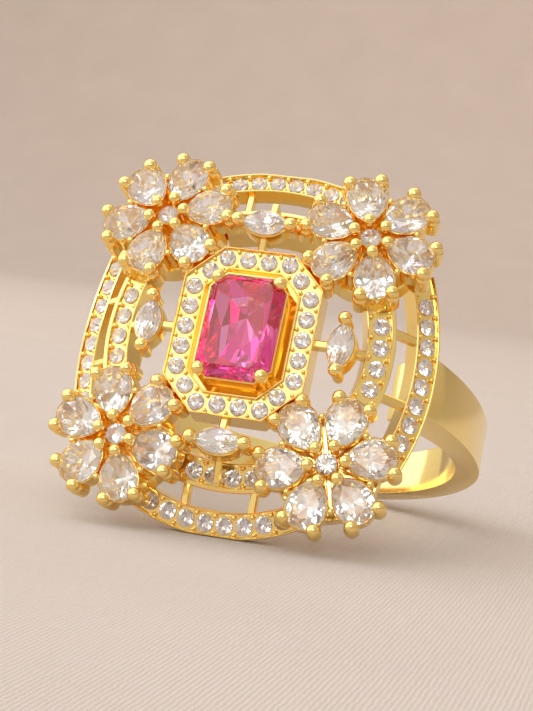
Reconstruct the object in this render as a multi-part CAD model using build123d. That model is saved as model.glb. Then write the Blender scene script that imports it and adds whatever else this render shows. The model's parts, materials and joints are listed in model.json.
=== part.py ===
from build123d import *
import math
import os

# A cocktail ring: a domed openwork face on a plain tapering band.
#
# The ring is designed in its own axes. The finger axis is Y, X runs across the face
# and Z rises from the finger centre through the centre stone. lie_on_table() turns the
# finished ring to the attitude in which it lies on a table, with +Z up from the table.

# ---- Driving dimensions, millimetres and degrees ----
FINGER_RADIUS = 9.05        # US size 8, 18.1 mm across
BAND_THICKNESS = 1.25
BAND_WIDTH_BACK = 2.2
BAND_WIDTH_FRONT = 3.0
SHOULDER_END = 38.0         # angle where the shoulder's inner side comes back to the bore
OPENING_ANGLE = 46.0        # above this angle the finger opening meets the open face
SHOULDER_HALF = 0.4         # half the shoulder's thickness where it meets the side strip
SHOULDER_SLOPE = 0.55       # how much lower its outside ends than its inside
FACE_HEIGHT = 12.3          # finger centre to the plane of the halo's stones

PAVE_RADIUS = 0.40          # every small round stone
SEAT_RADIUS = 0.28          # hole that each small stone sits over
RIM_WIDTH = 0.14
RIM_HEIGHT = 0.10

HALO_HALF_X = 2.78          # centre line of the halo's side columns
HALO_HALF_Y = 3.57          # centre line of its top and bottom rows
HALO_CORNER = (2.18, 2.86)  # its corner stones
HALO_DEPTH = 1.4
HALO_BORDER = 0.55          # stone centre to the wall of the halo
SIDE_STONES = 5
END_STONES = 4

CENTRE_HALF_X = 1.75        # 5 x 3.5 mm cut-corner stone
CENTRE_HALF_Y = 2.5
CENTRE_CUT = 0.65
CENTRE_GIRDLE = 0.62        # above the halo's plane
CENTRE_WALL = 0.14          # collar outside the stone's outline
CENTRE_BEARING = 0.3        # collar under the stone
CENTRE_CLAW = (1.46, 2.26)
CENTRE_CLAW_RISE = 0.3
CENTRE_LEG = 0.24
LEDGE_TOP = -0.6            # floor between the collar and the halo
LEDGE_THICKNESS = 0.35

FLOWER_X = 4.93
FLOWER_Y = 5.52
FLOWER_DROP = 0.3
FLOWER_TILT = 9.0           # each flower leans outward with the dome
PETALS = 6
PETAL_ROUND = 1.0           # radius of a petal's round end
PETAL_POINT = 1.48          # from the round end's centre to the petal's point
PETAL_REACH = 2.25          # from the flower's centre to the round end's centre
FLOWER_FOOT = -1.1          # underside of the collars and claws
COLLAR_TOP = -0.05
COLLAR_GROW = 0.04
COLLAR_BEARING = 0.26
CLAW_REACH = 3.05           # two claws hold each petal's round end
CLAW_SPREAD = 14.0
CLAW_RISE = 0.12
CLAW_LEG = 0.30
HEART_RADIUS = 0.47         # stone in the middle of a flower
HEART_CUP = 0.56
HEART_CLAW_REACH = 0.84     # one claw between the heart and each petal's point
HEART_CLAW_RISE = 0.26
HEART_BALL = 0.30
HEART_LEG = 0.2
GAP_WALL_REACH = 1.35       # short wall and bead between neighbouring petals
GAP_WALL = (1.8, 0.24)
GAP_WALL_TOP = -0.3
GAP_BEAD_REACH = 2.15
GAP_BEAD = 0.16
GAP_LEG = 0.13
GALLERY_INNER = 1.95        # gallery ring under the petals
GALLERY_OUTER = 2.45
GALLERY_FOOT = -2.2
WEB_THICKNESS = 0.4
WEB_HOLE_INSET = 0.32       # holes in the web under the petals

BALL_RADIUS = 0.33
MARQUISE_HALF_LENGTH = 1.12
MARQUISE_HALF_WIDTH = 0.60
MARQUISE_CLAW = 1.26
MARQUISE_CLAW_RISE = 0.16
MARQUISE_LEG = 0.26
MARQUISE_DEPTH = 1.0
MARQUISE_WALL = 0.1
MARQUISE_BEARING = 0.22
BAR_WIDTH = 0.36
BAR_HEIGHT = 0.5
MARQUISE_BAR_HEIGHT = 0.6
ARC_BAR_OFFSET = 1.6        # each pair of bars, from the side's middle
ARC_BAR_DEPTH = 0.3         # middle of those bars, below the stones' plane
MARQUISE_BAR_DEPTH = 0.5
CORNER_BAR_DEPTH = 1.1
CORNER_BAR_LENGTH = 1.2
CUT_CLEARANCE = 0.1         # cutting bodies run past the faces that they cut


class Strip:
    """One curved row of small stones: its place on the dome and its own size.

    tail is plain metal beyond the stones at each end, which runs on under a flower, and
    flat is half the length of a short flat in the middle of the outer wall, if it has one.
    """

    def __init__(self, reach, drop, tilt, radius, width, stones, step, tail, depth=1.05, flat=0.0):
        self.reach = reach
        self.drop = drop
        self.tilt = tilt
        self.radius = radius
        self.width = width
        self.stones = stones
        self.step = step
        self.tail = tail
        self.depth = depth
        self.flat = flat


OUTER_ACROSS = Strip(reach=8.13, drop=3.0, tilt=34, radius=11.6, width=1.2, stones=8, step=0.98, tail=0.9)
OUTER_ALONG = Strip(
    reach=8.6, drop=2.2, tilt=19, radius=8.1, width=1.2, stones=8, step=0.92, tail=0.5, depth=0.8, flat=1.2
)
INNER_ACROSS = Strip(reach=6.23, drop=1.2, tilt=20, radius=7.5, width=1.35, stones=4, step=1.03, tail=0.6)
INNER_ALONG = Strip(reach=6.4, drop=1.95, tilt=17, radius=7.6, width=1.35, stones=4, step=0.94, tail=0.6)

# Side of the face: its turn about Z, its outer strip and its inner strip.
SIDES = {
    "east": (0, OUTER_ACROSS, INNER_ACROSS),
    "north": (90, OUTER_ALONG, INNER_ALONG),
    "west": (180, OUTER_ACROSS, INNER_ACROSS),
    "south": (270, OUTER_ALONG, INNER_ALONG),
}
# Each marquise: its reach from the centre and its rise over the halo's plane.
MARQUISES = {"east": (4.58, 0.0), "north": (5.37, 0.40), "west": (4.58, 0.0), "south": (5.37, 0.40)}
CORNERS = {"north_east": (1, 1), "north_west": (-1, 1), "south_west": (-1, -1), "south_east": (1, -1)}


# ---- Outlines ----
def cut_rectangle(half_x, half_y, cut, grow=0.0):
    """A rectangle with cut corners, grown evenly on every side."""
    x = half_x + grow
    y = half_y + grow
    c = cut + grow * (2 - math.sqrt(2))
    corners = [(x, c - y), (x, y - c), (x - c, y), (c - x, y)]
    corners += [(-px, -py) for px, py in corners]
    return make_face(Polyline(*corners, close=True))


def pear(grow=0.0):
    """A pear outline with its round end at the origin and its point towards -X."""
    a = PETAL_ROUND + grow
    length = PETAL_POINT + grow
    bow = (length**2 - a**2) / (2 * a)
    half = math.asin(length / (a + bow)) / 2
    mid_x = -(a + bow) * math.sin(half)
    mid_y = (a + bow) * math.cos(half) - bow
    nose = ThreePointArc((0, -a), (a, 0), (0, a))
    upper = ThreePointArc((0, a), (mid_x, mid_y), (-length, 0))
    lower = ThreePointArc((-length, 0), (mid_x, -mid_y), (0, -a))
    return make_face([nose, upper, lower])


def marquise(grow=0.0):
    """A boat outline, pointed at both ends along X."""
    length = MARQUISE_HALF_LENGTH + grow
    width = MARQUISE_HALF_WIDTH + grow
    upper = ThreePointArc((-length, 0), (0, width), (length, 0))
    lower = ThreePointArc((length, 0), (0, -width), (-length, 0))
    return make_face([upper, lower])


def sector(inner, outer, half_angle):
    """Part of a flat ring about the origin, centred on +X."""
    far = CenterArc((0, 0), outer, -half_angle, 2 * half_angle)
    near = CenterArc((0, 0), inner, -half_angle, 2 * half_angle)
    return make_face([far, Line(far @ 1, near @ 1), near, Line(near @ 0, far @ 0)])


def slab(face, low, high):
    """A face pulled up into a plate between two heights."""
    return extrude(Pos(0, 0, low) * face, high - low)


# ---- Stones ----
def fancy_stone(outline, crown, pavilion, table, culet, girdle=0.08):
    """A cut stone from its outline, its girdle centred on the local XY plane."""
    low = Pos(0, 0, -girdle / 2) * outline
    high = Pos(0, 0, girdle / 2) * outline
    top = Pos(0, 0, girdle / 2 + crown) * scale(outline, table)
    tip = Pos(0, 0, -girdle / 2 - pavilion) * scale(outline, culet)
    body = loft([low, high], ruled=True)
    body += loft([high, top], ruled=True)
    body += loft([tip, low], ruled=True)
    return body


def round_stone(radius=PAVE_RADIUS):
    """A round brilliant, girdle on the local XY plane."""
    edge = 0.04 * radius
    table = 0.56 * radius
    crown = 0.36 * radius
    culet = -0.86 * radius
    profile = Polyline((0, culet), (radius, -edge), (radius, edge), (table, crown), (0, crown), close=True)
    return revolve(Plane.XZ * make_face(profile), Axis.Z)


def petal_stone():
    return fancy_stone(pear(), crown=0.34, pavilion=0.85, table=0.55, culet=0.08)


def marquise_stone():
    return fancy_stone(marquise(), crown=0.26, pavilion=0.6, table=0.5, culet=0.08)


def centre_stone():
    outline = cut_rectangle(CENTRE_HALF_X, CENTRE_HALF_Y, CENTRE_CUT)
    stone = fancy_stone(outline, crown=0.5, pavilion=1.65, table=0.64, culet=0.12, girdle=0.1)
    return Pos(0, 0, FACE_HEIGHT + CENTRE_GIRDLE) * stone


# ---- Prongs ----
def prong(x, y, ball_height, foot, leg_radius, ball_radius=BALL_RADIUS):
    """A straight leg from the foot up to a ball that holds a stone's edge."""
    leg = slab(Circle(leg_radius), foot, ball_height)
    return Pos(x, y, 0) * (leg + Pos(0, 0, ball_height) * Sphere(ball_radius))


# ---- Halo and centre ----
def halo_outline(grow):
    """The halo's centre line, an octagon, moved in or out."""
    corner_sum = HALO_CORNER[0] + HALO_CORNER[1]
    cut = HALO_HALF_X + HALO_HALF_Y - corner_sum
    return cut_rectangle(HALO_HALF_X, HALO_HALF_Y, cut, grow)


def halo_places():
    """Stone places round the halo: rows, columns and one at each corner."""
    rows = [i - (END_STONES - 1) / 2 for i in range(END_STONES)]
    columns = [i - (SIDE_STONES - 1) / 2 for i in range(SIDE_STONES)]
    places = [(x, side * HALO_HALF_Y) for x in rows for side in (-1, 1)]
    places += [(side * HALO_HALF_X, y) for y in columns for side in (-1, 1)]
    places += [(sx * HALO_CORNER[0], sy * HALO_CORNER[1]) for sx, sy in CORNERS.values()]
    return [Pos(x, y, FACE_HEIGHT) for x, y in places]


def halo_block():
    ring = halo_outline(HALO_BORDER) - halo_outline(-HALO_BORDER)
    outer_rim = halo_outline(HALO_BORDER) - halo_outline(HALO_BORDER - RIM_WIDTH)
    inner_rim = halo_outline(RIM_WIDTH - HALO_BORDER) - halo_outline(-HALO_BORDER)
    block = slab(ring, -HALO_DEPTH, 0) + slab(outer_rim, 0, RIM_HEIGHT) + slab(inner_rim, 0, RIM_HEIGHT)
    return Pos(0, 0, FACE_HEIGHT) * block


def seat_holes(places, depth):
    hole = slab(Circle(SEAT_RADIUS), -depth - CUT_CLEARANCE, CUT_CLEARANCE)
    return [place * hole for place in places]


def halo_frame(stones):
    return halo_block() - seat_holes(halo_places(), HALO_DEPTH) - stones


def centre_basket(stone):
    """The raised collar and four corner prongs, standing on a ledge inside the halo."""
    outer = cut_rectangle(CENTRE_HALF_X, CENTRE_HALF_Y, CENTRE_CUT, CENTRE_WALL)
    hole = cut_rectangle(CENTRE_HALF_X, CENTRE_HALF_Y, CENTRE_CUT, -CENTRE_BEARING)
    collar = slab(outer, -HALO_DEPTH, CENTRE_GIRDLE)
    ledge = slab(halo_outline(-HALO_BORDER), LEDGE_TOP - LEDGE_THICKNESS, LEDGE_TOP)
    basket = collar + ledge
    x, y = CENTRE_CLAW
    for sx, sy in CORNERS.values():
        basket += prong(sx * x, sy * y, CENTRE_GIRDLE + CENTRE_CLAW_RISE, -HALO_DEPTH, CENTRE_LEG)
    basket -= slab(hole, -HALO_DEPTH - CUT_CLEARANCE, CENTRE_GIRDLE + CUT_CLEARANCE)
    return Pos(0, 0, FACE_HEIGHT) * basket - stone


# ---- Strips of small stones ----
def strip_place(strip, turn):
    """The strip's own frame: origin on its middle stone line, X outward, Z off the dome."""
    at = Pos(strip.reach, 0, FACE_HEIGHT - strip.drop)
    return Rot(0, 0, turn) * at * Rot(0, strip.tilt, 0) * Pos(-strip.radius, 0, 0)


def strip_half_angle(strip):
    return math.degrees((strip.stones * strip.step / 2 + strip.tail) / strip.radius)


def strip_block(strip, turn):
    half = strip_half_angle(strip)
    near = strip.radius - strip.width / 2
    far = strip.radius + strip.width / 2
    block = slab(sector(near, far, half), -strip.depth, 0)
    block += slab(sector(near, near + RIM_WIDTH, half), 0, RIM_HEIGHT)
    block += slab(sector(far - RIM_WIDTH, far, half), 0, RIM_HEIGHT)
    if strip.flat:
        chord = math.sqrt(far**2 - strip.flat**2)
        block &= Pos(chord - far, 0, 0) * Box(2 * far, 4 * far, 4 * far)
    return strip_place(strip, turn) * block


def strip_places(strip, turn):
    middle = (strip.stones - 1) / 2
    angles = [math.degrees((i - middle) * strip.step / strip.radius) for i in range(strip.stones)]
    return [strip_place(strip, turn) * Rot(0, 0, a) * Pos(strip.radius, 0, 0) for a in angles]


# ---- Marquises between the halo and the inner strips ----
def marquise_place(side):
    reach, rise = MARQUISES[side]
    turn = SIDES[side][0]
    return Rot(0, 0, turn) * Pos(reach, 0, FACE_HEIGHT + rise) * Rot(0, 0, 90)


def marquise_block():
    """A marquise's collar, not yet pierced."""
    return slab(marquise(MARQUISE_WALL), -MARQUISE_DEPTH, 0)


def marquise_setting(side, stone):
    setting = marquise_block()
    for sx in (-1, 1):
        setting += prong(sx * MARQUISE_CLAW, 0, MARQUISE_CLAW_RISE, -MARQUISE_DEPTH, MARQUISE_LEG)
    hole = slab(marquise(-MARQUISE_BEARING), -MARQUISE_DEPTH - CUT_CLEARANCE, CUT_CLEARANCE)
    return marquise_place(side) * (setting - hole) - stone


# ---- Flowers at the corners ----
def flower_place(corner):
    sx, sy = CORNERS[corner]
    outward = math.degrees(math.atan2(sy, sx))
    at = Pos(sx * FLOWER_X, sy * FLOWER_Y, FACE_HEIGHT - FLOWER_DROP)
    return at * Rot(0, 0, outward) * Rot(0, FLOWER_TILT, 0)


def petal_angles():
    return [i * 360 / PETALS for i in range(PETALS)]


def flower_petals(corner):
    place = flower_place(corner)
    stone = petal_stone()
    return [place * Rot(0, 0, a) * Pos(PETAL_REACH, 0, 0) * stone for a in petal_angles()]


def flower_base(corner):
    """The gallery ring under the petals, with a web that carries the stone collars."""
    ring = slab(Circle(GALLERY_OUTER) - Circle(GALLERY_INNER), GALLERY_FOOT, FLOWER_FOOT)
    web_foot = FLOWER_FOOT - WEB_THICKNESS
    web = slab(Circle((GALLERY_INNER + GALLERY_OUTER) / 2), web_foot, FLOWER_FOOT)
    low = web_foot - CUT_CLEARANCE
    high = FLOWER_FOOT + CUT_CLEARANCE
    web -= slab(Circle(SEAT_RADIUS), low, high)
    hole = slab(pear(-WEB_HOLE_INSET), low, high)
    for angle in petal_angles():
        web -= Rot(0, 0, angle) * Pos(PETAL_REACH, 0, 0) * hole
    return flower_place(corner) * (ring + web)


def flower_setting(corner, stones):
    """Six pear collars round a small cup, with claws at both ends of every petal."""
    foot = FLOWER_FOOT
    collar = Pos(PETAL_REACH, 0, 0) * slab(pear(COLLAR_GROW), foot, COLLAR_TOP)
    heart_claw = prong(HEART_CLAW_REACH, 0, HEART_CLAW_RISE, foot, HEART_LEG, HEART_BALL)
    claw = prong(CLAW_REACH, 0, CLAW_RISE, foot, CLAW_LEG)
    gap_wall = Pos(GAP_WALL_REACH, 0, 0) * slab(Rectangle(*GAP_WALL), foot, GAP_WALL_TOP)
    gap_bead = prong(GAP_BEAD_REACH, 0, 0, foot, GAP_LEG, GAP_BEAD)
    hole = Pos(PETAL_REACH, 0, 0) * slab(pear(-COLLAR_BEARING), foot - CUT_CLEARANCE, CUT_CLEARANCE)

    setting = slab(Circle(HEART_CUP), foot, COLLAR_TOP)
    for angle in petal_angles():
        turn = Rot(0, 0, angle)
        gap = turn * Rot(0, 0, 180 / PETALS)
        setting += turn * collar
        setting += turn * heart_claw
        for spread in (-CLAW_SPREAD, CLAW_SPREAD):
            setting += turn * Rot(0, 0, spread) * claw
        setting += gap * gap_wall
        setting += gap * gap_bead
    for angle in petal_angles():
        setting -= Rot(0, 0, angle) * hole
    setting -= slab(Circle(SEAT_RADIUS), foot - CUT_CLEARANCE, CUT_CLEARANCE)
    return flower_place(corner) * setting - stones


# ---- Bars that tie the face together ----
def bar(start, end, height=BAR_HEIGHT):
    """A square bar between two points."""
    run = end - start
    frame = Plane(origin=(start + end) * 0.5, x_dir=run, z_dir=run.cross(Vector(0, 0, 1)).cross(run))
    return frame * Box(run.length, BAR_WIDTH, height)


def arc_bars(side):
    """Two bars across the gap between the inner and the outer strip of one side."""
    turn, outer, inner = SIDES[side]
    bars = []
    for shift in (-ARC_BAR_OFFSET, ARC_BAR_OFFSET):
        ends = []
        for strip in (inner, outer):
            angle = math.degrees(shift / strip.radius)
            place = strip_place(strip, turn) * Rot(0, 0, angle) * Pos(strip.radius, 0, -ARC_BAR_DEPTH)
            ends.append(place.position)
        bars.append(bar(*ends))
    return bars


def trim(piece, neighbours):
    """The part of a bar that is left between its neighbours."""
    return (piece - neighbours).solids().sort_by(SortBy.VOLUME)[-1]


def marquise_bars(side):
    """The bar from the halo to a marquise, and the one from it to the inner strip."""
    turn, _, inner = SIDES[side]
    reach, rise = MARQUISES[side]
    halo_reach = HALO_HALF_X if side in ("east", "west") else HALO_HALF_Y
    low = FACE_HEIGHT - MARQUISE_BAR_DEPTH
    marks = [(halo_reach, low), (reach, low + rise), (inner.reach, low - inner.drop)]
    points = [(Rot(0, 0, turn) * Pos(x, 0, z)).position for x, z in marks]
    return [bar(start, end, MARQUISE_BAR_HEIGHT) for start, end in zip(points, points[1:])]


def corner_bar(corner):
    """A short bar from a cut corner of the halo to the flower's gallery ring."""
    sx, sy = CORNERS[corner]
    start = Vector(sx * HALO_CORNER[0], sy * HALO_CORNER[1], FACE_HEIGHT - CORNER_BAR_DEPTH)
    end = start + Vector(sx, sy, 0).normalized() * CORNER_BAR_LENGTH
    return bar(start, end)


# ---- Band ----
def shank():
    """The band: a tapering hoop, open under the face, with a shoulder up to each side strip."""
    outer = FINGER_RADIUS + BAND_THICKNESS
    hoop = Circle(outer) - Circle(FINGER_RADIUS)
    far = 2 * outer
    gap = [(0, 0), polar(far, OPENING_ANGLE), polar(far, 180 - OPENING_ANGLE)]
    hoop -= make_face(Polyline(*gap, close=True))
    shoulder = shoulder_outline(outer) - Circle(FINGER_RADIUS)
    profile = hoop + shoulder + mirror(shoulder, Plane.YZ)
    front = BAND_WIDTH_FRONT / 2
    back = BAND_WIDTH_BACK / 2
    taper = Polyline((-back, -outer), (back, -outer), (front, outer), (-front, outer), close=True)
    band = extrude(Plane.XZ * profile, BAND_WIDTH_FRONT, both=True)
    band &= extrude(Plane.YZ * make_face(taper), far, both=True)
    return band


def shoulder_outline(outer):
    """The shoulder: one long curve up the outside, into the side strip, and down to the bore."""
    strip = OUTER_ACROSS
    crest = (strip_place(strip, 0) * Pos(strip.radius, 0, -strip.depth / 2)).position
    outside = (crest.X + SHOULDER_HALF, crest.Z - SHOULDER_SLOPE)
    inside = (crest.X - SHOULDER_HALF, crest.Z)
    start = (outer, 0)
    curve = TangentArc(start, outside, tangent=(0, 1))
    rest = Polyline(outside, inside, polar(FINGER_RADIUS, SHOULDER_END), (FINGER_RADIUS, 0), start)
    return make_face([curve, rest])


def polar(radius, angle):
    return (radius * math.cos(math.radians(angle)), radius * math.sin(math.radians(angle)))


# ---- Whole ring ----
def build():
    """Every node of the ring, in the ring's own axes."""
    nodes = {}
    halo_stones = [place * round_stone() for place in halo_places()]
    nodes["centre_stone"] = centre_stone()
    nodes["centre_basket"] = centre_basket(nodes["centre_stone"])
    nodes["halo_stones"] = halo_stones
    nodes["halo_frame"] = halo_frame(halo_stones)
    halo = halo_block()
    solid_blocks = [halo]
    strip_stones = []

    for side, (turn, outer, inner) in SIDES.items():
        for name, strip in (("outer", outer), ("inner", inner)):
            places = strip_places(strip, turn)
            stones = [place * round_stone() for place in places]
            block = strip_block(strip, turn)
            solid_blocks.append(block)
            strip_stones += stones
            nodes[f"{name}_arc_{side}"] = block - seat_holes(places, strip.depth) - stones
            nodes[f"{name}_arc_stones_{side}"] = stones
        stone = marquise_place(side) * marquise_stone()
        nodes[f"marquise_stone_{side}"] = stone
        nodes[f"marquise_setting_{side}"] = marquise_setting(side, stone)

    corner_bars = []
    for corner in CORNERS:
        petals = flower_petals(corner)
        heart = flower_place(corner) * round_stone(HEART_RADIUS)
        nodes[f"petal_stones_{corner}"] = petals
        nodes[f"flower_stone_{corner}"] = heart
        base = flower_base(corner) - solid_blocks - strip_stones
        nodes[f"flower_base_{corner}"] = base
        nodes[f"flower_setting_{corner}"] = flower_setting(corner, petals + [heart]) - solid_blocks
        corner_bars.append(trim(corner_bar(corner), [halo, base]))

    nodes["shank"] = shank() - solid_blocks
    fixed = solid_blocks + [marquise_place(side) * marquise_block() for side in SIDES]
    nodes["arc_bars"] = [trim(piece, fixed) for side in SIDES for piece in arc_bars(side)]
    nodes["marquise_bars"] = [trim(piece, fixed) for side in SIDES for piece in marquise_bars(side)]
    nodes["corner_bars"] = corner_bars
    return {name: as_node(shape) for name, shape in nodes.items()}


def as_node(shape):
    """One node, holding every solid of a piece or of a group of pieces."""
    pieces = shape if isinstance(shape, list) else [shape]
    return Compound([solid for piece in pieces for solid in piece.solids()])


def lie_on_table(nodes):
    """Lay the ring on the south strip's flat and the back of the band."""
    strip = OUTER_ALONG
    reach = math.sqrt((strip.radius + strip.width / 2)**2 - strip.flat**2)
    wall = strip_place(strip, SIDES["south"][0]) * Pos(reach, 0, -strip.depth)
    front = wall.position
    back = Vector(0, -BAND_WIDTH_BACK / 2, -FINGER_RADIUS - BAND_THICKNESS)
    lean = math.degrees(math.atan2(back.Y - front.Y, front.Z - back.Z))
    turn = Rot(90 - lean, 0, 0)
    laid = {name: turn * node for name, node in nodes.items()}
    box = Compound(list(laid.values())).bounding_box()
    centre = box.center()
    drop = Pos(-centre.X, -centre.Y, -box.min.Z)
    print("finger centre", (drop * turn).position, "finger axis turned", 90 - lean, "about X")
    print("size", box.size)
    return {name: drop * node for name, node in laid.items()}


if __name__ == "__main__":
    os.makedirs("parts", exist_ok=True)
    for name, node in lie_on_table(build()).items():
        export_step(node, f"parts/{name}.step")
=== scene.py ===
import json
import math
import random

import bmesh
import bpy
import numpy as np
from mathutils import Matrix, Vector


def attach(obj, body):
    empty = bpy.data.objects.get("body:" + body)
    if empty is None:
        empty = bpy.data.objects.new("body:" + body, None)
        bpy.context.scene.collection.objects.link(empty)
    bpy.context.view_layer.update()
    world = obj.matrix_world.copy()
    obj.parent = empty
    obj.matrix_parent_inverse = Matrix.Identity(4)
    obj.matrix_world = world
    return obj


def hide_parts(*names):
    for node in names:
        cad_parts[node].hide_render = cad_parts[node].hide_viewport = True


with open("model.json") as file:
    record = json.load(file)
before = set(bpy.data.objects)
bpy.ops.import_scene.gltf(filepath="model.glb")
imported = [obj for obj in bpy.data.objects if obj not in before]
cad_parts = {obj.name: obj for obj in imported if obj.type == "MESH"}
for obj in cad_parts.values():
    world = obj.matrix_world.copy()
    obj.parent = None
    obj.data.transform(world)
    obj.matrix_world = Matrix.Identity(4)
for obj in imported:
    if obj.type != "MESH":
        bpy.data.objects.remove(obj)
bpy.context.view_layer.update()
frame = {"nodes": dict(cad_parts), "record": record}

# A cocktail ring of yellow gold with one pink stone and many clear ones. Every piece is
# built in millimetres in the ring's own axes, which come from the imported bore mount:
# Y is the finger axis, X runs across the face, Z rises from the finger to the face.

MM = 0.001
SIDES = ("east", "north", "west", "south")
CORNERS = ("north_east", "north_west", "south_west", "south_east")

# ---- Shapes that the CAD solids leave plain, in millimetres and degrees ----
# Rows of small stones
SEAT_FLOOR = -0.07          # metal between the small stones, below their girdles
SEAT_GAP = -0.03            # the stones overhang the edge of their seats
SEAT_EDGE = (0.02, 0.03)    # soft edge of a seat: how far in and how far down
SEAT_DEPTH = 0.30           # foot of the seat's slope, under the stone's girdle
SEAT_BORE = 0.62            # seat's hole, as a share of the stone's radius
PAVE_BEAD = 0.115           # beads that hold the small stones
PAVE_BEAD_RISE = 0.02
PAVE_BEAD_INSET = 0.7       # bead's middle from the rim, in bead radii
HALO_BEAD = 0.10
BEAD_FOOT = -0.3
RIMS = {"outer": (0.12, 0.12), "inner": (0.25, 0.12), "halo": (0.1, 0.1)}   # outer and inner rim
RIM_SOFT = 0.035            # rounding along the rims
CELL_RUN = 6                # steps along one stone's cell
CELL_SPAN = 4               # steps across it
TAIL_RUN = 3                # steps along the plain end of an open row

# Claws
CLAW_BALL = 0.33            # on the petals, the marquises and the centre stone
BALL_SEGMENTS = 18
BALL_RINGS = 9
BALL_START = -48            # latitude where the ball leaves its neck
BALL_FLAT = 0.92            # height of the ball's upper half, in ball radii
PETAL_CLAW_SPREAD = 14.0    # each petal's two outer claws, from its middle line
PETAL_CLAW_RISE = 0.12
PETAL_LEG = 0.36
MARQUISE_CLAW_RISE = 0.16
MARQUISE_LEG = 0.26
CENTRE_CLAW_RISE = 0.3
CENTRE_LEG = 0.24

# Flowers
HEART_BALL = 0.30
HEART_CLAW_GAP = 0.37       # claw's middle from the heart stone's edge
HEART_CLAW_RISE = 0.24
HEART_LEG = 0.2
GAP_WALL_REACH = 1.35       # short wall between petals: from the heart to its middle
GAP_WALL = (1.8, 0.24)      # length and width
GAP_WALL_TOP = -0.95
GAP_WALL_SOFT = 0.05
GAP_BEAD_REACH = 2.15
GAP_BEAD = 0.16
GAP_BEAD_RISE = 0.02
GAP_LEG = 0.13
GALLERY_WALL = 0.5
GALLERY_SOFT = 0.08
WEB_SPOKE = (0.5, 0.4)      # width and height
WEB_SPOKE_GAP = 0.7         # how much shorter than the gallery's radius

# Basket, bars and band
CENTRE_WALL = 0.14          # collar outside the centre stone
CENTRE_BEARING = 0.3        # and under it
LEDGE_DROP = 0.6            # ledge below the halo's stones
LEDGE_THICKNESS = 0.35
LEDGE_FILLET = (0.16, 0.15) # slope from the ledge up to the collar: out and up
BAR_SOFT = 0.06
BAR_OVERLAP = 0.2           # how much longer than in CAD, so that the ends sink in
BAND_SOFT = 0.16            # rounding along the band's edges
BAND_SHARP = 35             # angle from which an edge of the band is rounded

# ---- Cuts of the stones ----
ROUND_GIRDLE = 0.03         # half the girdle's height, in stone radii
FANCY_GIRDLE = 0.04         # the same on petals and marquises, in millimetres
CENTRE_GIRDLE = 0.05
PETAL_FOCUS = -0.22         # middle of a petal's facets, from its round end's centre
BREAK_SHARE = (0.56, 0.66)  # centre stone's ring of points, in shares of its half sides
BREAK_DEPTH = 0.52          # and of its pavilion's depth

THREAD_SCALE = 1700         # wave scale of the cloth's threads


# ==== The frame ====
def ring_axes():
    """Turns millimetres in the ring's own axes into metres in the row frame."""
    bore = next(m for m in frame["record"]["mounts"] if m["name"] == "finger_bore")
    across = Vector((1, 0, 0))
    finger = Vector(bore["axis"]).normalized()
    up = across.cross(finger)
    turn = Matrix((across, finger, up)).transposed().to_4x4()
    return Matrix.Translation(bore["pos_m"]) @ turn @ Matrix.Scale(MM, 4)


RING = ring_axes()
TO_RING = RING.inverted()


def node_mesh(node):
    """A CAD node's mesh, welded, in the ring's axes."""
    bm = bmesh.new()
    bm.from_mesh(frame["nodes"][node].data)
    bm.transform(TO_RING)
    bmesh.ops.remove_doubles(bm, verts=bm.verts, dist=1e-4)
    return bm


def connected(first):
    """Every vertex that edges join to the first one, in the order in which it is met."""
    group = [first]
    met = {first}
    for vert in group:      # the list grows while it is walked
        for edge in vert.link_edges:
            other = edge.other_vert(vert)
            if other not in met:
                met.add(other)
                group.append(other)
    return group


def solids(node):
    """The separate solids of a CAD node: their points, their flats and their sharp edges."""
    whole = node_mesh(node)
    found = []
    met = set()
    for first in whole.verts:
        if first in met:
            continue
        group = connected(first)
        met.update(group)
        faces = dict.fromkeys(f for v in group for f in v.link_faces)
        edges = dict.fromkeys(e for v in group for e in v.link_edges)
        found.append({
            "points": np.array([v.co[:] for v in group]),
            "flats": [(f.calc_area(), f.normal.copy()) for f in faces],
            "edges": [e.verts[1].co - e.verts[0].co for e in edges if e.calc_face_angle(0.0) > 0.3],
        })
    whole.free()
    return sorted(found, key=lambda s: tuple(s["points"].mean(axis=0).round(3)))


def largest_flat(solid):
    """Normal of the flat that has the most area: a cut stone's table."""
    areas = {}
    for area, normal in solid["flats"]:
        key = tuple(round(c, 2) for c in normal)
        total, vector = areas.get(key, (0.0, Vector()))
        areas[key] = (total + area, vector + normal * area)
    return max(areas.values(), key=lambda item: item[0])[1].normalized()


def place_from(origin, x_axis, z_axis):
    """A frame whose Z is z_axis and whose X is x_axis, squared up."""
    z = Vector(z_axis).normalized()
    x = Vector(x_axis)
    x = (x - z * x.dot(z)).normalized()
    turn = Matrix((x, z.cross(x), z)).transposed().to_4x4()
    return Matrix.Translation(Vector(origin)) @ turn


def local_points(points, place):
    """Points of the ring's axes in a frame of their own."""
    back = np.array(place.inverted())
    return points @ back[:3, :3].T + back[:3, 3]


class Stone:
    """A CAD stone's place and proportions: girdle on the local XY plane, table up."""

    def __init__(self, solid, x_axis):
        normal = largest_flat(solid)
        rough = place_from((0, 0, 0), x_axis, normal)
        points = local_points(solid["points"], rough)
        low, high = points.min(axis=0), points.max(axis=0)
        middle = (low + high) / 2
        spread = np.linalg.norm(points[:, :2] - middle[:2], axis=1)
        rim = points[spread > spread.max() - 1e-3, 2]
        girdle = (rim.min() + rim.max()) / 2
        self.place = rough @ Matrix.Translation((middle[0], middle[1], girdle))
        self.half_length = (high[0] - low[0]) / 2
        self.half_width = (high[1] - low[1]) / 2
        self.crown = high[2] - girdle
        self.pavilion = girdle - low[2]

    @property
    def centre(self):
        return self.place.translation

    @property
    def normal(self):
        return self.place.col[2].to_3d()


def stones_of(node, x_axis=(1, 0, 0)):
    return [Stone(solid, x_axis) for solid in solids(node)]


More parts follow.
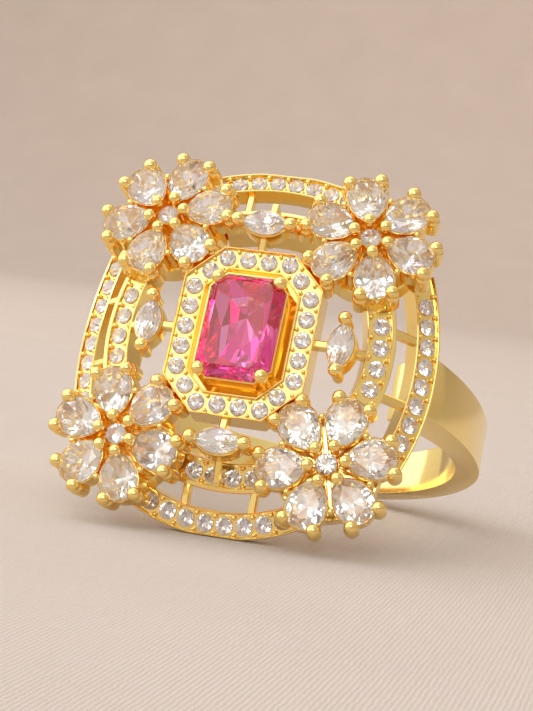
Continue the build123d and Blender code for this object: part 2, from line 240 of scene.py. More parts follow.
def body_points(node, place):
    """The points of a node of one solid, in a frame of their own."""
    return local_points(solids(node)[0]["points"], place)


def middle_of(stones):
    return sum((stone.centre for stone in stones), Vector()) / len(stones)


def centres_of(stones, place):
    """The stones' centres in a frame of their own."""
    return local_points(np.array([stone.centre[:] for stone in stones]), place)


# ==== Mesh helpers ====
def loft(bm, rings, place=Matrix.Identity(4), closed=True, wrap=False):
    """Joins rows of points with quads. closed joins each row's ends, wrap joins the rows'."""
    rows = [[bm.verts.new(place @ Vector(p)) for p in ring] for ring in rings]
    following = rows[1:] + ([rows[0]] if wrap else [])
    for row, after in zip(rows, following):
        count = len(row)
        for i in range(count if closed else count - 1):
            j = (i + 1) % count
            bm.faces.new((row[i], row[j], after[j], after[i]))
    return rows


def lid(bm, row):
    """Closes the end of a loft."""
    bm.faces.new(row)


def circle(radius, steps):
    angles = [2 * math.pi * i / steps for i in range(steps)]
    return [(radius * math.cos(a), radius * math.sin(a)) for a in angles]


def mix(a, b, share):
    """The point that far on the way from a to b."""
    return (a[0] + (b[0] - a[0]) * share, a[1] + (b[1] - a[1]) * share)


def lifted(outline, z):
    """A flat outline's points at one height."""
    return [(x, y, z) for x, y in outline]


def ball_claw(bm, place, ball, height, foot, leg):
    """A stout leg, a neck and a ball, its middle at height: one turned body with a closed foot."""
    neck = height - 0.8 * ball
    profile = [(leg * 0.9, foot), (leg, foot + 0.1 * ball), (leg, neck - 0.55 * ball)]
    profile += [(leg * 0.95, neck - 0.3 * ball), (leg * 0.82, neck - 0.08 * ball)]
    for i in range(BALL_RINGS):
        angle = math.radians(BALL_START + (90 - BALL_START) * i / BALL_RINGS)
        squash = BALL_FLAT if angle > 0 else 1.0
        profile.append((ball * math.cos(angle), height + squash * ball * math.sin(angle)))
    rows = loft(bm, [lifted(circle(r, BALL_SEGMENTS), z) for r, z in profile], place)
    lid(bm, rows[0])
    top = bm.verts.new(place @ Vector((0, 0, height + BALL_FLAT * ball)))
    last = rows[-1]
    for i, vert in enumerate(last):
        bm.faces.new((vert, last[(i + 1) % len(last)], top))


def at(x, y, z=0.0):
    return Matrix.Translation((x, y, z))


def turned(degrees):
    return Matrix.Rotation(math.radians(degrees), 4, "Z")


def new_object(name, bm, material, smooth):
    mesh = bpy.data.meshes.new(name)
    bm.to_mesh(mesh)
    bm.free()
    if smooth:
        mesh.polygons.foreach_set("use_smooth", [True] * len(mesh.polygons))
    mesh.materials.append(material)
    made = bpy.data.objects.new(name, mesh)
    bpy.context.scene.collection.objects.link(made)
    return made


def make_piece(name, bm, material, node, smooth_below=32.0):
    """Finishes a mesh as a piece that stands for its CAD node; smooth_below 0 keeps it faceted."""
    bmesh.ops.remove_doubles(bm, verts=bm.verts, dist=2e-4)
    bmesh.ops.recalc_face_normals(bm, faces=bm.faces)
    bm.transform(RING)
    piece = new_object(name, bm, material, smooth=smooth_below > 0)
    if smooth_below:
        piece.data.set_sharp_from_angle(angle=math.radians(smooth_below))
    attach(piece, "root")
    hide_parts(node)
    return piece


def cast_piece(node, bm, material):
    return make_piece(f"{node}_cast", bm, material, node)


# ==== Outlines ====
def both_halves(points):
    """An outline from its upper half, which starts and ends on X."""
    return points + [(x, -y) for x, y in reversed(points[1:-1])]


def pear(half_width, tail, grow=0.0, steps=32):
    """A pear about its round end's centre, its round end towards +X and its point at -tail."""
    a = half_width + grow
    length = tail + grow
    bow = (length**2 - a**2) / (2 * a)
    radius = a + bow
    sweep = math.asin(length / radius)
    half = steps // 2
    nose_steps = half // 2
    points = []
    for i in range(half + 1):
        if i <= nose_steps:
            angle = math.pi / 2 * i / nose_steps
            points.append((a * math.cos(angle), a * math.sin(angle)))
        else:
            angle = sweep * (i - nose_steps) / (half - nose_steps)
            points.append((-radius * math.sin(angle), radius * math.cos(angle) - bow))
    points[-1] = (-length, 0.0)
    return both_halves(points)


def marquise(half_length, half_width, grow=0.0, steps=32):
    """A boat outline, pointed at both ends of X."""
    length = half_length + grow
    width = half_width + grow
    bow = (length**2 - width**2) / (2 * width)
    radius = width + bow
    sweep = math.asin(length / radius)
    half = steps // 2
    points = []
    for i in range(half + 1):
        angle = sweep * (1 - 2 * i / half)
        points.append((radius * math.sin(angle), radius * math.cos(angle) - bow))
    points[0] = (length, 0.0)
    points[-1] = (-length, 0.0)
    return both_halves(points)


def cut_rectangle(half_x, half_y, cut, grow=0.0):
    """A rectangle with cut corners, from the +X side, anticlockwise."""
    x = half_x + grow
    y = half_y + grow
    c = cut + grow * (2 - math.sqrt(2))
    quarter = [(x, y - c), (x - c, y)]
    upper = quarter + [(-px, py) for px, py in reversed(quarter)]
    return upper + [(-px, -py) for px, py in upper]


# ==== Cut stones ====
def back_facet(bm, corners):
    """A facet of the pavilion, which has the stone's second material."""
    bm.faces.new(corners).material_index = 1


def brilliant(bm, stone, outline, girdle, table, star=0.78, keel=0.28, focus=0.0):
    """A brilliant cut on any outline: table, stars, kites and halves, above and below.

    girdle is half the girdle's height. table, star and keel are shares of the outline,
    and the facets meet over focus, a place on the X axis.
    """
    count = len(outline)
    tilt = math.cos(2 * math.pi / count)
    crown = stone.crown - girdle
    pavilion = stone.pavilion - girdle

    def ring(share, z, picks):
        shrunk = [(focus + share * (outline[i][0] - focus), share * outline[i][1], z) for i in picks]
        return [bm.verts.new(stone.place @ Vector(point)) for point in shrunk]

    mains = range(0, count, 2)
    halves = range(1, count, 2)
    top = girdle + crown
    star_height = girdle + crown * (1 - star * tilt) / (1 - table)
    keel_height = -girdle - pavilion * (1 - keel * tilt)
    table_ring = ring(table, top, mains)
    star_ring = ring(star, star_height, halves)
    upper = ring(1.0, girdle, range(count))
    lower = ring(1.0, -girdle, range(count))
    keel_ring = ring(keel, keel_height, halves)
    culet = bm.verts.new(stone.place @ Vector((focus, 0, -girdle - pavilion)))
    bm.faces.new(table_ring)
    pairs = count // 2
    for k in range(pairs):
        after = (k + 1) % pairs
        before = (k - 1) % pairs
        main = 2 * k
        half = 2 * k + 1
        next_main = (2 * k + 2) % count
        bm.faces.new((table_ring[k], table_ring[after], star_ring[k]))
        bm.faces.new((table_ring[k], star_ring[k], upper[main], star_ring[before]))
        bm.faces.new((star_ring[k], upper[half], upper[main]))
        bm.faces.new((star_ring[k], upper[next_main], upper[half]))
        back_facet(bm, (culet, keel_ring[before], lower[main], keel_ring[k]))
        back_facet(bm, (keel_ring[k], lower[main], lower[half]))
        back_facet(bm, (keel_ring[k], lower[half], lower[next_main]))
    for i in range(count):
        j = (i + 1) % count
        bm.faces.new((upper[i], upper[j], lower[j], lower[i]))


def stone_piece(node, bm, materials):
    """Gives every facet a random number of its own, which picks its painted reflection tone, and finishes
    the stones as one piece.
    """
    # The number chooses each facet's painted reflection tone in the back material.
    tone = bm.faces.layers.float.new("facet")
    for face in bm.faces:
        face[tone] = random.random()
    piece = make_piece(f"{node}_cut", bm, materials[0], node, smooth_below=0)
    piece.data.materials.append(materials[1])
    return piece


def round_stones(node, materials):
    bm = bmesh.new()
    for stone in stones_of(node):
        radius = stone.half_width
        stone.place = stone.place @ turned(random.uniform(0, 45))
        brilliant(bm, stone, circle(radius, 16), ROUND_GIRDLE * radius, table=0.56)
    return stone_piece(node, bm, materials)


class Petal:
    """One pear stone of a flower, about its round end's centre, its point to the heart."""

    def __init__(self, solid, heart):
        outward = Vector(solid["points"].mean(axis=0)) - heart.centre
        stone = Stone(solid, outward)
        shift = stone.half_length - stone.half_width
        self.place = stone.place @ at(shift, 0)
        self.half_width = stone.half_width
        self.tail = 2 * stone.half_length - stone.half_width
        self.crown = stone.crown
        self.pavilion = stone.pavilion


def petals_of(corner):
    heart = stones_of(f"flower_stone_{corner}")[0]
    return heart, [Petal(solid, heart) for solid in solids(f"petal_stones_{corner}")]


def petal_stones(corner, materials):
    bm = bmesh.new()
    for petal in petals_of(corner)[1]:
        outline = pear(petal.half_width, petal.tail, steps=12)
        brilliant(bm, petal, outline, FANCY_GIRDLE, table=0.6, star=0.82, keel=0.34, focus=PETAL_FOCUS)
    return stone_piece(f"petal_stones_{corner}", bm, materials)


def marquise_stone(side, materials):
    node = f"marquise_stone_{side}"
    stone = stones_of(node, long_axis(side))[0]
    bm = bmesh.new()
    outline = marquise(stone.half_length, stone.half_width, steps=12)
    brilliant(bm, stone, outline, FANCY_GIRDLE, table=0.55, star=0.8, keel=0.3)
    return stone_piece(node, bm, materials)


def long_axis(side):
    """A marquise lies along Y on the east and west sides, and along X on the others."""
    return (0, 1, 0) if side in ("east", "west") else (1, 0, 0)


def centre_stone(materials):
    """A cut-corner stone: a narrow crown, and a pavilion of long and crossing facets."""
    stone = stones_of("centre_stone")[0]
    x = stone.half_length
    y = stone.half_width
    cut = centre_cut(stone)
    crown = stone.crown - CENTRE_GIRDLE
    pavilion = stone.pavilion - CENTRE_GIRDLE
    levels = (
        (0.0, -CENTRE_GIRDLE), (0.0, CENTRE_GIRDLE),
        (-0.30, CENTRE_GIRDLE + 0.72 * crown), (-0.44, CENTRE_GIRDLE + crown),
    )
    bm = bmesh.new()
    rows = loft(bm, [lifted(cut_rectangle(x, y, cut, grow), z) for grow, z in levels], stone.place)
    lid(bm, rows[-1])
    radiant_pavilion(bm, stone.place, cut_rectangle(x, y, cut), pavilion, y - x)
    return stone_piece("centre_stone", bm, materials)


def centre_cut(stone):
    """How much of each corner is cut, from the girdle points on the +X side."""
    points = body_points("centre_stone", stone.place)
    side = points[points[:, 0] > stone.half_length - 1e-3]
    return stone.half_width - side[:, 1].max()


def radiant_pavilion(bm, place, outline, depth, keel):
    """Facets from a cut-rectangle girdle, past a ring of points, to a keel line from -keel to keel."""

    def vert(x, y, below):
        return bm.verts.new(place @ Vector((x, y, -CENTRE_GIRDLE - below)))

    share_x, share_y = BREAK_SHARE
    lower = [vert(x, y, 0) for x, y in outline]
    tips = (vert(0, keel, depth), vert(0, -keel, depth))
    mids = []
    for a, b in zip(outline, outline[1:] + outline[:1]):
        x, y = mix(a, b, 0.5)
        tip = tips[0] if y > -1e-6 else tips[1]
        mids.append((vert(x * share_x, y * share_y, BREAK_DEPTH * depth), tip))
    count = len(outline)
    for i in range(count):
        j = (i + 1) % count
        mid, tip = mids[i]
        after, after_tip = mids[j]
        back_facet(bm, (lower[i], lower[j], mid))
        back_facet(bm, (lower[j], after, mid))
        back_facet(bm, (mid, after, tip))
        if after_tip is not tip:
            back_facet(bm, (after, after_tip, tip))


# ==== Rows of small stones ====
class Row:
    """A raised row that carries small stones, as stations across it, each (outer, inner)."""

    def __init__(self, place, stations, centres, radius, width, walls, rims, ring):
        self.place = place
        self.stations = stations
        self.centres = centres
        self.radius = radius
        self.width = width
        self.depth = -walls[:, 2].min()
        self.rim_height = walls[:, 2].max()
        self.outer_rim, self.inner_rim = rims
        self.ring = ring        # True if the row closes on itself
        self.first = 0 if ring else TAIL_RUN    # station where the first stone's cell starts

    def across(self, index, offset):
        outer, inner = self.stations[index % len(self.stations)]
        return mix(outer, inner, offset / self.width)

    def offsets(self):
        """Even steps across the floor, from the outer rim to the inner one."""
        span = self.width - self.outer_rim - self.inner_rim
        return [self.outer_rim + span * j / CELL_SPAN for j in range(CELL_SPAN + 1)]

    def cell(self, k):
        """The border of one stone's cell, between the rims."""
        first = self.first + k * CELL_RUN
        last = first + CELL_RUN
        offsets = self.offsets()
        border = [self.across(i, offsets[0]) for i in range(first, last)]
        border += [self.across(last, w) for w in offsets[:-1]]
        border += [self.across(i, offsets[-1]) for i in range(last, first, -1)]
        border += [self.across(first, w) for w in reversed(offsets[1:])]
        return border

    def seat(self, bm, k):
        """Floor, conical seat and through hole of one stone, closed at the back."""
        border = self.cell(k)
        cx, cy = self.centres[k]
        wide = self.radius + SEAT_GAP
        hole = self.radius * SEAT_BORE
        edge_in, edge_down = SEAT_EDGE
        levels = (
            (wide, SEAT_FLOOR), (wide - edge_in, SEAT_FLOOR - edge_down),
            (hole, -SEAT_DEPTH), (hole, -self.depth),
        )
        rings = [lifted(border, SEAT_FLOOR)]
        for radius, z in levels:
            ring = []
            for px, py in border:
                reach = math.hypot(px - cx, py - cy)
                ring.append((cx + (px - cx) * radius / reach, cy + (py - cy) * radius / reach, z))
            rings.append(ring)
        rings.append(lifted(border, -self.depth))
        loft(bm, rings, self.place)

    def rim_profile(self, outside):
        """Offsets and heights over one rim and down its wall."""
        edge = self.outer_rim if outside else self.inner_rim
        top = self.rim_height
        low = -self.depth
        soft = RIM_SOFT
        draft = 0.01
        points = [(edge, SEAT_FLOOR), (edge - draft, top - soft), (edge - soft - draft, top), (soft, top)]
        points += [(0.0, top - soft), (0.0, low + soft), (soft, low), (edge, low)]
        return points if outside else [(self.width - w, z) for w, z in points]

    def tail(self, bm, indices):
        """A plain stretch beyond the outermost stones: a floor above and a back below."""
        for z in (SEAT_FLOOR, -self.depth):
            lines = [[(*self.across(i, w), z) for w in self.offsets()] for i in indices]
            loft(bm, lines, self.place, closed=False)

    def build(self, bm):
        for k in range(len(self.centres)):
            self.seat(bm, k)
        if not self.ring:
            last = len(self.stations) - 1
            self.tail(bm, range(0, self.first + 1))
            self.tail(bm, range(last - self.first, last + 1))
        for outside in (True, False):
            lines = []
            for offset, z in self.rim_profile(outside):
                lines.append([(*self.across(i, offset), z) for i in range(len(self.stations))])
            loft(bm, lines, self.place, closed=self.ring)
        if not self.ring:
            self.end(bm, 0)
            self.end(bm, len(self.stations) - 1)

    def end(self, bm, index):
        """The flat end of an open row."""
        outer = [(*self.across(index, w), z) for w, z in self.rim_profile(True)]
        inner = [(*self.across(index, w), z) for w, z in self.rim_profile(False)]
        steps = self.offsets()[1:-1]
        floor = [(*self.across(index, w), SEAT_FLOOR) for w in steps]
        back = [(*self.across(index, w), -self.depth) for w in reversed(steps)]
        corners = list(reversed(outer)) + floor + inner + back
        lid(bm, [bm.verts.new(self.place @ Vector(p)) for p in corners])

    def beads(self, bm, radius, inset, height):
        """Two beads in each gap between stones, by the outer and the inner rim."""
        cells = len(self.centres)
        for k in range(cells if self.ring else cells + 1):
            for offset in (self.outer_rim + inset, self.width - self.inner_rim - inset):
                x, y = self.across(self.first + k * CELL_RUN, offset)
                ball_claw(bm, self.place @ at(x, y), radius, height, BEAD_FOOT, radius)


def circle_through(points):
    """Centre and radius of the circle nearest to some points in a plane."""
    columns = np.column_stack([2 * points[:, 0], 2 * points[:, 1], np.ones(len(points))])
    x, y, rest = np.linalg.lstsq(columns, (points**2).sum(axis=1), rcond=None)[0]
    return x, y, math.sqrt(rest + x * x + y * y)


def strip_circle(stones):
    """The frame of a strip's circle, with X towards the strip's middle, and its radius."""
    normal = stones[0].normal
    level = place_from(stones[0].centre, (1, 0, 0), normal)
    centres = centres_of(stones, level)
    x, y, radius = circle_through(centres[:, :2])
    middle = centres[:, :2].mean(axis=0)
    outward = level.to_3x3() @ Vector((middle[0] - x, middle[1] - y, 0))
    return place_from(level @ Vector((x, y, 0)), outward, normal), radius


def strip_stations(angles, half):
    """Angles of the stations: equal steps in each stone's cell and in the plain ends."""
    pitch = (angles[-1] - angles[0]) / (len(angles) - 1)
    bounds = [-half] + [angles[0] + (k - 0.5) * pitch for k in range(len(angles) + 1)] + [half]
    steps = [TAIL_RUN] + [CELL_RUN] * len(angles) + [TAIL_RUN]
    stations = []
    for start, end, count in zip(bounds, bounds[1:], steps):
        stations += [start + (end - start) * i / count for i in range(count)]
    return stations + [half]


def strip_row(kind, side):
    """A curved strip's row: its circle from its stones, its walls from its CAD solid."""
    stones = stones_of(f"{kind}_arc_stones_{side}")
    place, radius = strip_circle(stones)
    angles = sorted(math.atan2(y, x) for x, y, _ in centres_of(stones, place))
    walls = body_points(f"{kind}_arc_{side}", place)
    reach = np.linalg.norm(walls[:, :2], axis=1)
    near, far = reach.min(), reach.max()
    flat_wall = walls[:, 0].max()       # the outer wall has a flat on some strips
    pairs = []
    for angle in strip_stations(angles, np.abs(np.arctan2(walls[:, 1], walls[:, 0])).max()):
        x, y = math.cos(angle), math.sin(angle)
        out = min(far, flat_wall / x)
        pairs.append(((out * x, out * y), (near * x, near * y)))
    centres = [(radius * math.cos(angle), radius * math.sin(angle)) for angle in angles]
    return Row(place, pairs, centres, stones[0].half_width, far - near, walls, RIMS[kind], False)


def strip(kind, side, material):
    row = strip_row(kind, side)
    bm = bmesh.new()
    row.build(bm)
    row.beads(bm, PAVE_BEAD, PAVE_BEAD * PAVE_BEAD_INSET, PAVE_BEAD_RISE)
    return cast_piece(f"{kind}_arc_{side}", bm, material)


# ==== Halo ====
def perimeter_walk(outline):
    """Running lengths of an outline's corners, its total, and its point at any length."""
    sides = list(zip(outline, outline[1:] + outline[:1]))
    lengths = [math.dist(a, b) for a, b in sides]
    starts = [sum(lengths[:i]) for i in range(len(lengths))]
    total = sum(lengths)

    def point(length):
        length %= total
        for start, size, (a, b) in zip(starts, lengths, sides):
            if length <= start + size:
                return mix(a, b, (length - start) / size)
        return outline[0]

    return starts, total, point


def length_at(outline, through, direction):
    """Where a line crosses the outline nearest to a point of the line: running length."""
    run = 0.0
    found = []
    for a, b in zip(outline, outline[1:] + outline[:1]):
        ex, ey = b[0] - a[0], b[1] - a[1]
        det = direction[0] * ey - direction[1] * ex
        size = math.hypot(ex, ey)
        if abs(det) > 1e-9:
            wx, wy = a[0] - through[0], a[1] - through[1]
            along = (wx * ey - wy * ex) / det
            share = (wx * direction[1] - wy * direction[0]) / det
            if -1e-9 <= share <= 1 + 1e-9:
                found.append((abs(along), run + share * size))
        run += size
    return min(found)[1]


def walk_between(outline, start, end):
    """Points along the outline from one running length to another, keeping its corners."""
    starts, total, point = perimeter_walk(outline)
    if end < start - total / 2:
        end += total
    lengths = [start + (end - start) * i / CELL_RUN for i in range(CELL_RUN)]
    for corner in starts + [s + total for s in starts]:
        if start < corner < end:
            inner = range(1, CELL_RUN)
            nearest = min(inner, key=lambda i: abs(lengths[i] - corner))
            lengths[nearest] = corner
    return [point(length) for length in lengths]


def halo_row():
    """The halo's row: an octagon through its stones, out and in to its CAD walls."""
    stones = stones_of("halo_stones")
    place = place_from(middle_of(stones), (1, 0, 0), stones[0].normal)
    spots = [(x, y) for x, y, _ in centres_of(stones, place)]
    centres = sorted(spots, key=lambda p: math.atan2(p[1], p[0]))
    walls = body_points("halo_frame", place)
    half_x = max(x for x, _ in centres)
    half_y = max(y for _, y in centres)
    border = walls[:, 0].max() - half_x
    cut = corner_cut(walls) - border * (2 - math.sqrt(2))
    outer = cut_rectangle(half_x, half_y, cut, border)
    inner = cut_rectangle(half_x, half_y, cut, -border)
    cuts = []
    for a, b in zip(centres[-1:] + centres[:-1], centres):
        middle = mix(a, b, 0.5)
        normal = (b[1] - a[1], a[0] - b[0])
        cuts.append((length_at(outer, middle, normal), length_at(inner, middle, normal)))
    stations = []
    for here, after in zip(cuts, cuts[1:] + cuts[:1]):
        outer_run = walk_between(outer, here[0], after[0])
        inner_run = walk_between(inner, here[1], after[1])
        stations += list(zip(outer_run, inner_run))
    return Row(place, stations, centres, stones[0].half_width, 2 * border, walls, RIMS["halo"], True)


def corner_cut(points):
    """How much is cut from each corner of a wall, along its +X side."""
    on_side = points[points[:, 0] > points[:, 0].max() - 1e-3]
    return points[:, 1].max() - on_side[:, 1].max()


def halo_frame(material):
    row = halo_row()
    bm = bmesh.new()
    row.build(bm)
    row.beads(bm, HALO_BEAD, HALO_BEAD, 0.0)
    return cast_piece("halo_frame", bm, material)


# ==== Flowers ====
def stacked(bm, place, outline_at, levels):
    """A closed tube of one outline at several sizes and heights."""
    loft(bm, [lifted(outline_at(grow), z) for grow, z in levels], place, wrap=True)


def collar_levels(lip, depth, wall):
    """Up the wall at the lip's reach, over its soft edge, and down the seat inside it."""
    return (
        (lip, -depth), (lip, -0.18), (lip - 0.02, -0.12), (lip - 0.07, -0.09),
        (lip - 0.13, -0.1), (lip - wall, -0.36), (lip - wall, -depth),
    )


def flower_frame(corner):
    """A flower's heart stone, its petals and its plane, which the petals share."""
    heart, petals = petals_of(corner)
    normal = sum((p.place.col[2].to_3d() for p in petals), Vector()).normalized()
    return heart, petals, place_from(heart.centre, petals[0].place.col[0].to_3d(), normal)


def bearing(place, spot):
    """Direction in a flower's plane towards a spot, in degrees."""
    towards = place.inverted() @ spot
    return math.degrees(math.atan2(towards.y, towards.x))


def flower_setting(corner, material):
    """Pear collars round a cup, with the claws, short walls and beads between them."""
    heart, petals, place = flower_frame(corner)
    node = f"flower_setting_{corner}"
    body = body_points(node, place)
    foot = body[:, 2].min()
    claw_reach = np.linalg.norm(body[:, :2], axis=1).max() - CLAW_BALL
    cup = collar_levels(0.05, -foot, 0.2)
    collar = collar_levels(-0.07, -foot, 0.22)
    bm = bmesh.new()
    stacked(bm, place, lambda grow: circle(heart.half_width + grow, 32), cup)
    for petal in petals:
        stacked(bm, petal.place, lambda grow: pear(petal.half_width, petal.tail, grow), collar)
        arm = place @ turned(bearing(place, petal.place.translation))
        heart_claw = arm @ at(heart.half_width + HEART_CLAW_GAP, 0)
        ball_claw(bm, heart_claw, HEART_BALL, HEART_CLAW_RISE, foot, HEART_LEG)
        for spread in (-PETAL_CLAW_SPREAD, PETAL_CLAW_SPREAD):
            claw = arm @ turned(spread) @ at(claw_reach, 0)
            ball_claw(bm, claw, CLAW_BALL, PETAL_CLAW_RISE, foot, PETAL_LEG)
        gap = arm @ turned(180 / len(petals))
        wall = gap @ at(GAP_WALL_REACH, 0, (foot + GAP_WALL_TOP) / 2)
        rounded_bar(bm, wall, *GAP_WALL, GAP_WALL_TOP - foot, GAP_WALL_SOFT)
        ball_claw(bm, gap @ at(GAP_BEAD_REACH, 0), GAP_BEAD, GAP_BEAD_RISE, foot, GAP_LEG)
    return cast_piece(node, bm, material)


def flower_base(corner, material):
    """The gallery ring under a flower and the web that carries its collars."""
    _, petals, place = flower_frame(corner)
    node = f"flower_base_{corner}"
    body = body_points(node, place)
    low, high = body[:, 2].min(), body[:, 2].max()
    outer = np.linalg.norm(body[:, :2], axis=1).max()
    inner = outer - GALLERY_WALL
    soft = GALLERY_SOFT
    section = [
        (inner, low), (outer - soft, low), (outer, low + soft), (outer, high - soft),
        (outer - soft, high), (inner + soft, high), (inner, high - soft),
    ]
    width, height = WEB_SPOKE
    bm = bmesh.new()
    loft(bm, [lifted(circle(r, 64), z) for r, z in section], place, wrap=True)
    for petal in petals:
        spoke = place @ turned(bearing(place, petal.place.translation) + 180 / len(petals))
        spoke = spoke @ at(outer / 2, 0, high - height / 2)
        rounded_bar(bm, spoke, outer - WEB_SPOKE_GAP, width, height, BAR_SOFT)
    return cast_piece(node, bm, material)


# ==== Marquises and the centre ====
def marquise_setting(side, material):
    """A boat-shaped collar with a ball claw at each end."""
    node = f"marquise_setting_{side}"
    stone = stones_of(f"marquise_stone_{side}", long_axis(side))[0]
    body = body_points(node, stone.place)
    foot = body[:, 2].min()
    reach = body[:, 0].max() - CLAW_BALL
    bm = bmesh.new()
    stacked(
        bm, stone.place, lambda grow: marquise(stone.half_length, stone.half_width, grow),
        collar_levels(0.09, -foot, 0.3),
    )
    for sign in (-1, 1):
        claw = stone.place @ at(sign * reach, 0)
        ball_claw(bm, claw, CLAW_BALL, MARQUISE_CLAW_RISE, foot, MARQUISE_LEG)
    return cast_piece(node, bm, material)


def basket_rings(stone, halo, foot):
    """The basket's section: up its collar, out over the ledge to the halo, and down the seat."""
    cut = centre_cut(stone)
    opening = [inner for _, inner in halo.stations]
    reach_x = max(x for x, _ in opening)
    reach_y = max(y for _, y in opening)
    opening_cut = reach_y - max(y for x, y in opening if x > reach_x - 1e-3)
    rim = cut_rectangle(reach_x, reach_y, opening_cut)

    def collar(grow, z):
        return lifted(cut_rectangle(stone.half_length, stone.half_width, cut, grow), z)

    ledge = halo.place.translation.z - stone.centre.z - LEDGE_DROP
    ledge_foot = ledge - LEDGE_THICKNESS
    fillet_out, fillet_up = LEDGE_FILLET
    rings = [collar(CENTRE_WALL, foot), collar(CENTRE_WALL, ledge_foot)]
    rings += [lifted(rim, ledge_foot), lifted(rim, ledge)]
    rings += [collar(CENTRE_WALL + fillet_out, ledge), collar(CENTRE_WALL, ledge + fillet_up)]
    rings += [collar(CENTRE_WALL - 0.01, -0.1), collar(0.11, 0.0), collar(0.05, 0.03), collar(0.005, 0.0)]
    rings += [collar(-0.05, -0.1), collar(-CENTRE_BEARING, -0.45), collar(-CENTRE_BEARING, foot)]
    return rings


def centre_basket(material):
    """The centre stone's collar, the ledge that joins it to the halo, and four ball claws."""
    stone = stones_of("centre_stone")[0]
    body = body_points("centre_basket", stone.place)
    foot = body[:, 2].min()
    bm = bmesh.new()
    loft(bm, basket_rings(stone, halo_row(), foot), stone.place, wrap=True)
    balls = body[np.abs(body[:, 2] - CENTRE_CLAW_RISE) < 0.1]
    claw_x = balls[:, 0].max() - CLAW_BALL
    claw_y = balls[:, 1].max() - CLAW_BALL
    for sx in (-1, 1):
        for sy in (-1, 1):
            claw = stone.place @ at(sx * claw_x, sy * claw_y)
            ball_claw(bm, claw, CLAW_BALL, CENTRE_CLAW_RISE, foot, CENTRE_LEG)
    return cast_piece("centre_basket", bm, material)


# ==== Bars ====
def rounded_bar(bm, place, length, width, height, soft):
    """A bar along X with softened long edges."""
    w, h = width / 2, height / 2
    section = []
    for sy, sz in ((1, -1), (1, 1), (-1, 1), (-1, -1)):
        first = (sy * w, sz * (h - soft))
        second = (sy * (w - soft), sz * h)
        section += [first, second] if sy * sz > 0 else [second, first]
    rows = loft(bm, [[(x, py, pz) for py, pz in section] for x in (-length / 2, length / 2)], place)
    lid(bm, rows[0])
    lid(bm, rows[-1])


def bars(node, material):
    """Every bar of a CAD node, a little longer, so that its ends sink into its neighbours."""
    bm = bmesh.new()
    for solid in solids(node):
        level = [e for e in solid["edges"] if abs(e.z) < 0.75 * e.length]
        run = max(level, key=lambda e: e.length).normalized()
        side = max(solid["flats"], key=lambda f: f[0] * (1 - abs(f[1].dot(run))))[1]
        place = place_from((0, 0, 0), run, side)
        points = local_points(solid["points"], place)
        low, high = points.min(axis=0), points.max(axis=0)
        length, width, height = high - low
        place = place @ Matrix.Translation(Vector((low + high) / 2))
        rounded_bar(bm, place, length + BAR_OVERLAP, width, height, BAR_SOFT)
    return cast_piece(node, bm, material)


# ==== Band ====
def shank(material):
    """The band, from the CAD body's own faces, with every edge softened."""
    body = node_mesh("shank")
    bmesh.ops.dissolve_limit(
        body, angle_limit=math.radians(0.5), verts=body.verts, edges=body.edges, delimit={"NORMAL"},
    )
    least = math.radians(BAND_SHARP)
    sharp = [e for e in body.edges if e.is_manifold and e.calc_face_angle() > least]
    bmesh.ops.bevel(
        body, geom=sharp, offset=BAND_SOFT, segments=4, profile=0.5, affect="EDGES", clamp_overlap=True,
    )
    return make_piece("shank_polished", body, material, "shank", smooth_below=30)


# ==== Materials ====
def new_material(name):
    """A material with its node tree and its shader."""
    material = bpy.data.materials.new(name)
    material.use_nodes = True
    tree = material.node_tree
    return material, tree, tree.nodes["Principled BSDF"]


def noise(tree, coordinates, scale, detail, roughness=0.5):
    """A noise value from 0 to 1, mostly near a half."""
    node = tree.nodes.new("ShaderNodeTexNoise")
    node.inputs["Scale"].default_value = scale
    node.inputs["Detail"].default_value = detail
    node.inputs["Roughness"].default_value = roughness
    tree.links.new(coordinates, node.inputs["Vector"])
    return node.outputs["Fac"]


def spread(tree, value, low, high):
    """A value from 0 to 1, stretched to run from low to high."""
    node = tree.nodes.new("ShaderNodeMapRange")
    node.inputs["To Min"].default_value = low
    node.inputs["To Max"].default_value = high
    tree.links.new(value, node.inputs["Value"])
    return node.outputs["Result"]


def blend_colours(tree, value, first, second):
    node = tree.nodes.new("ShaderNodeMix")
    node.data_type = "RGBA"
    node.inputs["A"].default_value = (*first, 1)
    node.inputs["B"].default_value = (*second, 1)
    tree.links.new(value, node.inputs["Factor"])
    return node.outputs["Result"]


def multiplied(tree, first, second):
    node = tree.nodes.new("ShaderNodeMix")
    node.data_type = "RGBA"
    node.blend_type = "MULTIPLY"
    node.inputs["Factor"].default_value = 1.0
    tree.links.new(first, node.inputs["A"])
    tree.links.new(second, node.inputs["B"])
    return node.outputs["Result"]


def bumped(tree, shader, height, strength, distance):
    """Bump from a height value; distance is in metres."""
    node = tree.nodes.new("ShaderNodeBump")
    node.inputs["Strength"].default_value = strength
    node.inputs["Distance"].default_value = distance
    tree.links.new(height, node.inputs["Height"])
    tree.links.new(node.outputs["Normal"], shader.inputs["Normal"])


def object_coordinates(tree):
    return tree.nodes.new("ShaderNodeTexCoord").outputs["Object"]


def gold(name, bright, deep, roughness, bump):
    """Polished gold: a slow change of tone, fine polishing haze and a faint cast ripple."""
    material, tree, shader = new_material(name)
    where = object_coordinates(tree)
    shader.inputs["Metallic"].default_value = 1.0
    tone = spread(tree, noise(tree, where, scale=420, detail=2.0), -0.2, 1.2)
    tree.links.new(blend_colours(tree, tone, deep, bright), shader.inputs["Base Color"])
    haze = noise(tree, where, scale=2600, detail=4.0, roughness=0.65)
    tree.links.new(spread(tree, haze, roughness * 0.6, roughness * 1.5), shader.inputs["Roughness"])
    bumped(tree, shader, noise(tree, where, scale=1500, detail=3.0), bump, distance=0.00004)
    return material


